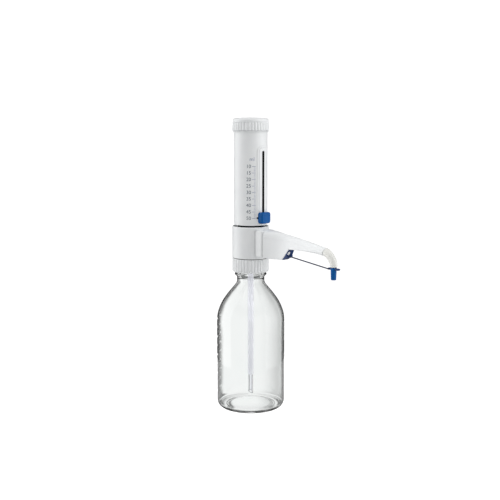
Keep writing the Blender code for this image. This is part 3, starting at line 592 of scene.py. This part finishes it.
# ---- sleeve with its slot, frame and scale -----------------------------------------------------
def outer_sleeve():
    """White sleeve, turned all round, with both skins taken out at the slot and their rims bridged."""
    slot_angle = math.asin(SLOT_HALF / SLEEVE_R)
    count = 96
    angles = [slot_angle + (2 * math.pi - 2 * slot_angle) * i / count for i in range(count + 1)]
    angles += [2 * math.pi - slot_angle / 3, 2 * math.pi + slot_angle / 3]
    profile = softened([
        (SLEEVE_R, SLEEVE_TOP), (SLEEVE_R, SLOT_HIGH), (SLEEVE_R, SLOT_LOW), (SLEEVE_R, SLEEVE_BOTTOM, 0.9),
        (19.7, SLEEVE_BOTTOM, 0.5), (19.7, 278.7, 0.5), (SLEEVE_BORE, 280.9), (SLEEVE_BORE, SLOT_LOW),
        (SLEEVE_BORE, SLOT_HIGH), (SLEEVE_BORE, 415.0, 0.4), (9.0, 415.0), (9.0, 418.0),
        (SLEEVE_BORE, 418.0, 0.4), (SLEEVE_BORE, SLEEVE_TOP)])
    mesh = lathe(profile, count, angles=angles)
    shape = bmesh.new()
    shape.from_mesh(mesh)
    middle_z = (SLOT_LOW + SLOT_HIGH) / 2
    centres = [(face, face.calc_center_median() / MM) for face in shape.faces]
    window = [face for face, at in centres
              if abs(at.z - middle_z) < 1.0 and at.x > 0.0 and abs(at.y) < SLOT_HALF * 0.99]
    bmesh.ops.delete(shape, geom=window, context="FACES")
    rim = [e for e in shape.edges if e.is_boundary]
    bmesh.ops.bridge_loops(shape, edges=rim)
    shape.to_mesh(mesh)
    shape.free()
    show("sleeve_shell", mesh, FINISHES["white_plastic"], "plunger", "outer_sleeve", slot="white_plastic")


def wrapped(u, z, radius):
    """A point on the sleeve: u is the distance round the outer wall from the slot's middle."""
    angle = u / SLEEVE_R
    return (radius * math.cos(angle), radius * math.sin(angle), z)


def slot_frame():
    """Raised frame round the slot in two steps, arched at the top, and a thin black skin on the slot's cut
    walls: painted shade in the slot.

    Each loop is given by its half width, its rise over the slot, its drop under it, and its radius.
    """
    def loop(half, rise, drop, radius):
        top, bottom = SLOT_HIGH - SLOT_HALF, SLOT_LOW - drop
        over = arc((0.0, top), half, 0, 180, 25, squeeze=(rise + SLOT_HALF) / half)
        under = [(half * (k / 6 - 1), bottom) for k in range(13)]
        return [wrapped(u, z, radius) for u, z in over + under]

    steps = [(2.2, 0.0, 0.0, 22.5), (2.2, 0.0, 0.0, 25.35), (2.3, 0.15, 0.15, 25.5), (4.6, 2.5, 2.2, 25.55),
             (6.8, 4.2, 3.6, 25.55), (7.4, 4.8, 4.0, 24.72), (7.9, 5.2, 4.1, 24.72), (8.4, 5.8, 4.2, 25.45),
             (9.8, 7.0, 4.6, 25.45), (10.6, 7.8, 4.9, 24.75), (10.8, 7.9, 5.0, 24.3)]
    rows = [loop(*step) for step in steps]
    show("slot_frame", skin(rows, close_rows=True), FINISHES["white_plastic"], "plunger", sharp=25.0)
    # A black skin over the slot's walls: painted shade inside the slot.
    wall_shade_steps = [(2.18, -0.02, -0.02, 22.6), (2.18, -0.02, -0.02, 25.3), (1.8, -0.4, -0.4, 25.3),
             (1.8, -0.4, -0.4, 22.6)]
    rows = [loop(*step) for step in wall_shade_steps]
    show("slot_wall_shade", skin(rows, close_rows=True), FINISHES["black_plastic"], "plunger")


def letters(text, size):
    """Flat triangles of a short text, centred, in millimetres."""
    curve = bpy.data.curves.new("text", "FONT")
    curve.body, curve.size = text, size
    curve.align_x, curve.align_y = "CENTER", "CENTER"
    curve.resolution_u = 3
    holder = bpy.data.objects.new("text", curve)
    bpy.context.scene.collection.objects.link(holder)
    bpy.context.view_layer.update()
    mesh = bpy.data.meshes.new_from_object(holder.evaluated_get(bpy.context.evaluated_depsgraph_get()))
    bpy.data.objects.remove(holder)
    return mesh


def scale_print():
    """Printed scale beside the slot: a number every 5 ml with its tick, and a short tick every ml.

    Places round the sleeve are azimuths in degrees.
    """
    ink = SLEEVE_R + 0.05
    prints = []
    digits_at, unit_at, tick_from, short_from, tick_to = -53.0, -41.5, -41.5, -35.0, -29.0
    digit_size, unit_size, long_thick, short_thick = 7.2, 7.6, 0.6, 0.4
    rungs = [SCALE_LOW + SCALE_STEP * k for k in range(9)]

    def printed(mesh, azimuth, z):
        """Wraps flat print round the sleeve."""
        shape = bmesh.new()
        shape.from_mesh(mesh)
        for vertex in shape.verts:
            u = vertex.co.x + math.radians(azimuth) * SLEEVE_R
            vertex.co = Vector(wrapped(u, z + vertex.co.y, ink)) * MM
        shape.to_mesh(mesh)
        shape.free()
        prints.append(mesh)

    def tick(start, z, thick):
        """A printed line from a start azimuth to the common end."""
        count = 4
        us = [math.radians(start + (tick_to - start) * i / count) * SLEEVE_R for i in range(count + 1)]
        rows = [[wrapped(u, z + s * thick / 2, ink) for u in us] for s in (-1, 1)]
        faces = [(i, i + 1, count + 2 + i, count + 1 + i) for i in range(count)]
        prints.append(mesh_of(rows[0] + rows[1], faces))

    for k, z in enumerate(rungs):
        printed(letters(str(50 - 5 * k), digit_size), digits_at, z)
    show("scale_digits", merged(prints), PRINT_FINISH, "plunger")
    prints = []
    for z in rungs:
        tick(tick_from, z, long_thick)
        for m in range(1, 5) if z < rungs[-1] else ():
            tick(short_from, z + SCALE_STEP * m / 5, short_thick)
    printed(letters("ml", unit_size), unit_at, SCALE_LOW + SCALE_STEP * 9.1)
    show("scale_ticks", merged(prints), TICK_FINISH, "plunger")


def top_cap():
    """Cap with a ribbed skirt that widens downwards, and a fine groove over its tapered lower edge."""
    root, flare = CAP_R - RIB_DEPTH + 0.1, 0.8
    profile = softened([
        (0.0, CAP_TOP), (8.0, CAP_TOP - 0.1), (18.0, CAP_TOP - 0.6, 2.0), (CAP_R - 0.6, CAP_TOP - 1.1, 3.6),
        (CAP_R - 0.1, 426.6, 0.4), (root, 426.2, 0.2), (root, 425.8), (root + flare * 0.1, 425.0),
        (root + flare * 0.5, 420.0), (root + flare, 415.2), (root + flare, 414.6), (root + flare, 414.0),
        (root - 0.8, 413.9, 0.1), (root - 0.8, 413.1, 0.1), (CAP_R + 0.7, 413.1, 0.3), (CAP_R + 0.3, 412.6),
        (CAP_R - 0.9, CAP_BOTTOM, 0.3), (SLEEVE_R + 0.3, CAP_BOTTOM, 0.2), (SLEEVE_R + 0.3, 428.0),
        (0.0, 428.0)], closed=False)
    mesh = lathe(profile, RIBS * 12, grip_ribs(413.8, 426.3, 0.7, inside=root - 0.1))
    show("cap_shell", mesh, FINISHES["white_plastic"], "top_cap", "top_cap", slot="white_plastic")


# ---- volume slider -----------------------------------------------------------------------------
def volume_slider():
    """Blue clamp block on the slot frame, with a hollow front face, and its black pointer."""
    half, high, front, corner = 9.3, 8.2, 32.4, 3.4
    edge_deep, edge_inset, dish_r, dish_away = 2.6, 2.2, 34.0, 33.2

    def section(x, inset):
        y, z = half - inset, high - inset
        face = softened([(-y, -z, corner), (y, -z, corner), (y, z, corner), (-y, z, corner)], steps=6)
        return [(x, across, SLIDER_Z + up) for across, up in face]

    rounding = [section(front - edge_deep + edge_deep * math.sin(a), edge_inset * (1 - math.cos(a)))
                for a in (math.pi * k / 12 for k in range(7))]
    body = skin([section(21.5, 0.0)] + rounding, cap=True)
    saddle = rod_between((0.0, 0.0, SLIDER_Z - 20.0), (0.0, 0.0, SLIDER_Z + 20.0), SLIDER_SADDLE, 96)
    stem = skin([[(x, y, SLIDER_Z + z) for y, z in ((-1.4, -3.5), (1.4, -3.5), (1.4, 3.5), (-1.4, 3.5))]
                 for x in (20.2, 29.0)], cap=True)
    dish_x = front + dish_away
    dish = rod_between((dish_x, 0.0, SLIDER_Z - 30.0), (dish_x, 0.0, SLIDER_Z + 30.0), dish_r, 96)
    mesh = carved(body, ("DIFFERENCE", saddle), ("DIFFERENCE", dish), round_off=0.5, segments=3)
    show("slider_grip", merged([mesh, stem]), FINISHES["blue_plastic"], "volume_slider", "slider_block",
         slot="blue_plastic")
    reach = 1.03  # the pointer's places round the sleeve are drawn out by this
    tip = [(-11.4, 0.0), (-9.0, 1.7), (-6.9, 1.7), (-6.9, -1.7), (-9.0, -1.7)]
    rows = [[wrapped(u * reach, SLIDER_Z + z, r) for u, z in tip] for r in (SLEEVE_R + 0.4, SLEEVE_R + 1.3)]
    show("pointer_tip", carved(skin(rows, cap=True), round_off=0.25, segments=2), FINISHES["black_plastic"],
         "volume_slider", "volume_pointer", slot="black_plastic")


# ---- discharge arm -----------------------------------------------------------------------------
def arm_section(x, top, bottom, half, lean=0.0, inset=0.0):
    """Points across the arm: arched on top, small corners below. lean tilts the section about Y.

    A ledge runs along each side under the arch, and flat is the least straight part between corners.
    """
    top, bottom, half = top - inset, bottom + inset, half - inset
    middle, high = (top + bottom) / 2, (top - bottom) / 2
    roof_r, ledge, flat = 6.8, 0.35, 0.02
    upper = min(roof_r, half - flat, high * 1.4)
    lower = min(1.3 + 4.6 * lean / 20.0, half - flat, high - flat)
    upper_z = min(upper * 1.15, high - flat)
    across = []
    for sy, sz, start, ry, rz, count in ((1, 1, 0, upper, upper_z, 10), (-1, 1, 90, upper, upper_z, 10),
                                         (-1, -1, 180, lower, lower, 6), (1, -1, 270, lower, lower, 6)):
        corner = [(sy * (half - ry) + ry * c, sz * (high - rz) + rz * s)
                  for c, s in arc((0.0, 0.0), 1.0, start, start + 90, count)]
        if sz > 0:
            corner = [(y - sy * ledge, v) for y, v in corner]
            foot = (sy * half, high - rz - 0.25)
            corner = [foot, *corner] if sy > 0 else [*corner, foot]
        across += corner
    tilt = math.radians(lean)
    return [(x + v * math.sin(tilt), y, middle + v * math.cos(tilt)) for y, v in across]


def arm_shell():
    """White arm: wide at the head, a slanted foot for the blue clip, then slim and arched to the nozzle."""
    root = [(37.1, 270.4, 230.8, 13.6, 0.0), (44.0, 270.2, 230.6, 11.9, 0.0), (52.0, 269.8, 230.5, 10.2, 0.0),
            (60.0, 269.0, 230.5, 8.4, 0.0), (68.4, 267.8, 230.5, 6.8, 0.0)]
    slim = [(80.8, 266.2, 246.6, 6.7, 0.0), (90.0, 264.8, 247.0, 6.6, 0.0), (100.0, 263.2, 247.2, 6.5, 0.0),
            (110.0, 261.4, 246.9, 6.4, 2.0), (120.0, 259.5, 246.3, 6.25, 6.0),
            (132.0, 257.0, 245.2, 6.05, 13.0), (142.4, 254.9, 243.1, 5.95, 20.0)]
    sections = [arm_section(36.6, *root[0][1:], inset=0.5)]
    sections += [arm_section(*s) for s in smooth_route(root, 3)]
    sections += [arm_section(*s) for s in smooth_route(slim, 4)]
    sections.append(arm_section(142.9, *slim[-1][1:], inset=0.5))
    peg = rod_between((73.0, PEG_Y, 243.2), (78.9, PEG_Y, 240.7), PEG_R, 28)
    mesh = merged([skin(sections, cap=True), peg])
    show("arm_shell", mesh, FINISHES["white_plastic"], "head", "arm_cover", slot="white_plastic", sharp=32.0)


def nozzle():
    """Translucent bent nozzle with a bored spigot that the tip cap fits over."""
    route = smooth_route([(144.0, 0.0, 248.9), (147.2, 0.0, 247.6), (151.4, 0.0, 244.5), (155.2, 0.0, 240.3),
                          (157.8, 0.0, 234.9), (TIP_X, 0.0, 229.6)], 5)
    last = len(route) - 1
    outer = [5.9 - 0.7 * i / last for i in range(last + 1)]
    ends = [(TIP_X, 0.0, 229.3), (TIP_X, 0.0, 229.25), (TIP_X, 0.0, 224.0), (TIP_X, 0.0, 223.65)]
    rows = sweep(route + ends, outer + [4.6, 1.8, 1.35, 1.0], 40)
    rows += reversed(sweep(route + ends, [1.6] * (last + 1) + [1.4, 1.2, 0.8, 0.8], 40))
    show("nozzle_tube", skin(rows, close_rows=True), NOZZLE_FINISH, "head", "discharge_nozzle",
         slot="translucent_tube", sharp=45.0)


def wire_clip():
    """Blue clip on the arm's slanted foot: a peg hole, and a lug for the wire."""
    x, z = PIVOT
    clip_half, lug_r, lug_root = 6.3, 2.3, 75.4
    outline = [(68.8, 230.4), (75.6, 234.2), (80.4, 244.8), (81.5, 245.9), (80.5, 245.9)]
    lug = [(lug_root, z - lug_r)] + arc((x, z), lug_r, -90, 90, 13) + [(lug_root, z + lug_r)]
    hole = rod_between((70.0, PEG_Y, 244.6), (86.0, PEG_Y, 237.8), PEG_HOLE_R)
    mesh = carved(prism(outline, -clip_half, clip_half), ("UNION", prism(lug, -LUG_HALF, LUG_HALF)),
                  ("DIFFERENCE", rod_between((x, -9.0, z), (x, 9.0, z), WIRE_HOLE_R)), ("DIFFERENCE", hole),
                  round_off=0.35, segments=3)
    # The clip gets the darker blue copy: painted shade.
    show("clip_block", mesh, BLUE_SHADED_FINISH, "head", "wire_bracket", slot="blue_plastic")


def wire_and_tip():
    """The wire with its bent ends, and the tip cap: a cup with a cross bar."""
    (x0, z0), (x1, z1) = PIVOT, HOLD
    start, end = Vector((x0, WIRE_Y, z0)), Vector((x1, WIRE_Y, z1))
    along = (end - start).normalized()
    corner, leg_end = 1.1, 2.6
    first, last = Vector((x0, WIRE_Y + corner, z0)), Vector((x1, WIRE_Y + corner, z1))

    def bend(before, tip, after, places):
        """Points on the rounded corner between two points, at places from 0 to 1."""
        return [tuple(before.lerp(tip, t).lerp(tip.lerp(after, t), t)) for t in places]

    route = [(x0, leg_end, z0), tuple(first)]
    route += bend(first, start, start + along * corner, (0.25, 0.5, 0.75, 1.0))
    route += [tuple(start.lerp(end, t)) for t in (0.2, 0.4, 0.6, 0.8)]
    route += bend(end - along * corner, end, last, (0.0, 0.25, 0.5, 0.75)) + [tuple(last), (x1, leg_end, z1)]
    wire = skin(sweep(route, [WIRE_R] * len(route), 14), cap=True)
    show("wire_link", wire, FINISHES["dark_wire"], "cap_wire", "cap_wire", slot="dark_wire")

    top, bottom = top_of("tip_cap"), bottom_of("tip_cap")
    cup = lathe(softened([(2.9, top, 0.3), (4.15, top, 0.4), (4.1, 222.0), (3.7, bottom, 1.3), (0.0, bottom),
                          (0.0, 215.0), (2.65, 215.0, 0.6)]), 48, centre_x=TIP_X)
    show("cap_cup", cup, FINISHES["blue_plastic"], "tip_cap", "tip_cap", slot="blue_plastic")
    bar_half = 1.35
    low, high = z1 - bar_half, z1 + bar_half
    bar = softened([(x1 - 1.6, low, 1.0), (167.8, low, 0.6), (169.0, z1 + 0.1, 0.5), (167.8, high, 0.6),
                    (x1 - 1.6, high, 1.0)], steps=5)
    mesh = carved(prism(bar, -LUG_HALF, LUG_HALF),
                  ("DIFFERENCE", rod_between((x1, -5.0, z1), (x1, 5.0, z1), WIRE_HOLE_R)),
                  ("DIFFERENCE", rod_between((TIP_X, 0.0, 215.0), (TIP_X, 0.0, 240.0), TIP_BORE_R)),
                  round_off=0.35, segments=3)
    # The cap bar gets the darker blue copy: painted shade.
    show("cap_bar", mesh, BLUE_SHADED_FINISH, "tip_cap", slot="blue_plastic")


# ---- filling tube ------------------------------------------------------------------------------
def filling_tube():
    """Two telescoping fluoropolymer tubes, the lower one cut slantwise."""
    count = 48
    upper = lathe(softened([(4.5, 213.5), (4.5, 49.0, 0.3), (3.95, 49.0, 0.2), (3.95, 213.5)]), count)
    # The upper tube's glow is painted light.
    show("tube_upper", upper, MILKY_GLOW_FINISH, "head", "filling_tube", slot="translucent_tube", sharp=50.0)

    low, high = bottom_of("filling_tube_extension"), top_of("filling_tube_extension")
    outer, bore, slant = 3.6, 2.8, math.tan(math.radians(30.0))
    angles = [2 * math.pi * k / count for k in range(count)]
    rows = []
    for radius, slanted in ((outer, False), (outer, True), (bore, True), (bore, False)):
        ring = [(radius * math.cos(a), radius * math.sin(a)) for a in angles]
        rows.append([(x, y, low + slant * (outer - x) if slanted else high) for x, y in ring])
    show("tube_lower", skin(rows, close_rows=True), FINISHES["translucent_tube"], "tube_extension",
         "filling_tube_extension", slot="translucent_tube", sharp=50.0)


# ---- CAD nodes that keep their shape -----------------------------------------------------------
def dress_cad_nodes():
    """Gives every CAD node the finish of its material slot."""
    slots = {part["node"]: part["material_slot"] for part in frame["record"]["subparts"]}
    for name, node in frame["nodes"].items():
        node.data.materials.clear()
        node.data.materials.append(FINISHES[slots[name]])


# ---- stage, light and camera -------------------------------------------------------------------
# The camera's azimuth from the front and its pitch in degrees, its distance and height in metres.
VIEW_AZIMUTH, VIEW_DOWN = 44.0, 8.08
VIEW_DISTANCE, VIEW_HEIGHT = 1.444, 0.4427
# Brightness of the backdrop to the camera and through the glass, and of the room's parts.
BACKDROP, THROUGH_GLASS = 1.1, 0.94
FRONT, SIDE_PANELS, REAR, OVERHEAD = 0.52, 1.8, 0.5, 1.25


def camera():
    """The camera, a little over the arm's height and looking down on the bottle."""
    data = bpy.data.cameras.new("camera")
    data.lens, data.sensor_width = 70.8, 36.0
    data.shift_x = -0.0014
    holder = bpy.data.objects.new("camera", data)
    bpy.context.scene.collection.objects.link(holder)
    azimuth = math.radians(VIEW_AZIMUTH)
    holder.location = (VIEW_DISTANCE * math.sin(azimuth), -VIEW_DISTANCE * math.cos(azimuth), VIEW_HEIGHT)
    holder.rotation_euler = (math.radians(90.0 - VIEW_DOWN), 0.0, azimuth)
    bpy.context.scene.camera = holder


def floor():
    """A plain pale sheet just under the bottle, bright to the camera so that it runs into the backdrop."""
    radius, count, height = 0.3, 64, -0.0002
    angles = [2 * math.pi * k / count for k in range(count)]
    vertices = [(radius * math.cos(a), radius * math.sin(a), height) for a in angles]
    mesh = bpy.data.meshes.new("floor")
    mesh.from_pydata(vertices, [], [tuple(range(count))])
    made = bpy.data.materials.new("floor")
    made.use_nodes = True
    nodes = Maths(made.node_tree)
    shader = made.node_tree.nodes["Principled BSDF"]
    shader.inputs["Base Color"].default_value = (0.6, 0.6, 0.6, 1.0)
    shader.inputs["Roughness"].default_value = 0.9
    shader.inputs["Emission Color"].default_value = (1.0, 1.0, 1.0, 1.0)
    seen = nodes("MULTIPLY", nodes.ray_kinds()[0], BACKDROP)
    made.node_tree.links.new(seen, shader.inputs["Emission Strength"])
    mesh.materials.append(made)
    sheet = bpy.data.objects.new("floor", mesh)
    bpy.context.scene.collection.objects.link(sheet)
    sheet.visible_transmission = False


def flags(nodes, x, y):
    """Brightness through the glass by direction: clear behind it, dark to the left, grey to the right.

    The flags stand beside the camera's line of sight, and it is clear again beyond them.
    """
    off = nodes.turned(x, y, VIEW_AZIMUTH + 90.0)
    left = nodes.sector(off, 4.0, 7.4, 1.0, 0.05)
    right = nodes("MULTIPLY", nodes.sector(off, -4.4, -0.5, 0.6, 1.0),
                  nodes.sector(off, -13.0, -5.5, 0.4, 1.0))
    clear = nodes.sector(nodes("ABSOLUTE", off), 17.0, 22.0)
    return nodes("MAXIMUM", nodes("MULTIPLY", left, right), clear)


def studio():
    """A white room with tall panels left and right, a dim front, and narrow flags that edge the glass."""
    world = bpy.data.worlds.new("studio")
    bpy.context.scene.world = world
    world.use_nodes = True
    tree = world.node_tree
    nodes = Maths(tree)
    place = tree.nodes.new("ShaderNodeTexCoord")
    x, y, z = nodes.split(place.outputs["Generated"])

    front_azimuth, mirror_loss = VIEW_AZIMUTH - 100.0, 0.85
    off_front = nodes("ABSOLUTE", nodes.turned(x, y, front_azimuth))
    sides = nodes.sector(off_front, 57.0, 66.0, FRONT, SIDE_PANELS)
    rear = nodes.sector(off_front, 106.0, 120.0, 0.0, SIDE_PANELS - REAR)
    overhead = nodes.step(z, 0.5, 0.95)
    walls = nodes("MULTIPLY", nodes("SUBTRACT", sides, rear), nodes("SUBTRACT", 1.0, overhead))
    room = nodes("ADD", walls, nodes("MULTIPLY", overhead, OVERHEAD))
    behind = nodes.sector(off_front, 118.0, 126.0)
    mirrored = nodes("MULTIPLY", nodes.glossy_ray(), behind)
    room = nodes("MULTIPLY", room, nodes("SUBTRACT", 1.0, nodes("MULTIPLY", mirrored, mirror_loss)))

    upwards = nodes.step(z, 0.30, 0.55, 1.0, 0.25)
    downwards = nodes.step(z, -0.62, -0.42, 0.8, 0.0)
    edged = nodes("MAXIMUM", nodes("MULTIPLY", flags(nodes, x, y), upwards), downwards)
    camera_ray, through = nodes.ray_kinds()
    seen = nodes("MULTIPLY", camera_ray, BACKDROP)
    glass = nodes("MULTIPLY", nodes("MULTIPLY", through, edged), THROUGH_GLASS)
    rest = nodes("MULTIPLY", nodes("SUBTRACT", 1.0, nodes("MAXIMUM", through, camera_ray)), room)
    background = tree.nodes["Background"]
    tree.links.new(nodes("ADD", nodes("ADD", seen, glass), rest), background.inputs["Strength"])
    background.inputs["Color"].default_value = (1.0, 1.0, 1.0, 1.0)
    bpy.context.scene.view_settings.view_transform = "Standard"


def arm_light():
    """A small narrow light on the arm from the front."""
    data = bpy.data.lights.new("arm_light", "AREA")
    data.shape, data.size, data.size_y, data.spread = "RECTANGLE", 0.09, 0.05, math.radians(8.0)
    data.energy = 0.0032
    light = bpy.data.objects.new("arm_light", data)
    bpy.context.scene.collection.objects.link(light)
    light.location = (0.105, -0.45, 0.27)
    light.rotation_euler = (math.radians(86.0), 0.0, 0.0)


camera()
dress_cad_nodes()
bottle()
bottle_print()
thread_ring()
head_housing()
vent_button()
guide_shell()
outer_sleeve()
slot_frame()
scale_print()
top_cap()
volume_slider()
arm_shell()
nozzle()
wire_clip()
wire_and_tip()
filling_tube()
floor()
studio()
arm_light()

bpy.context.view_layer.update()
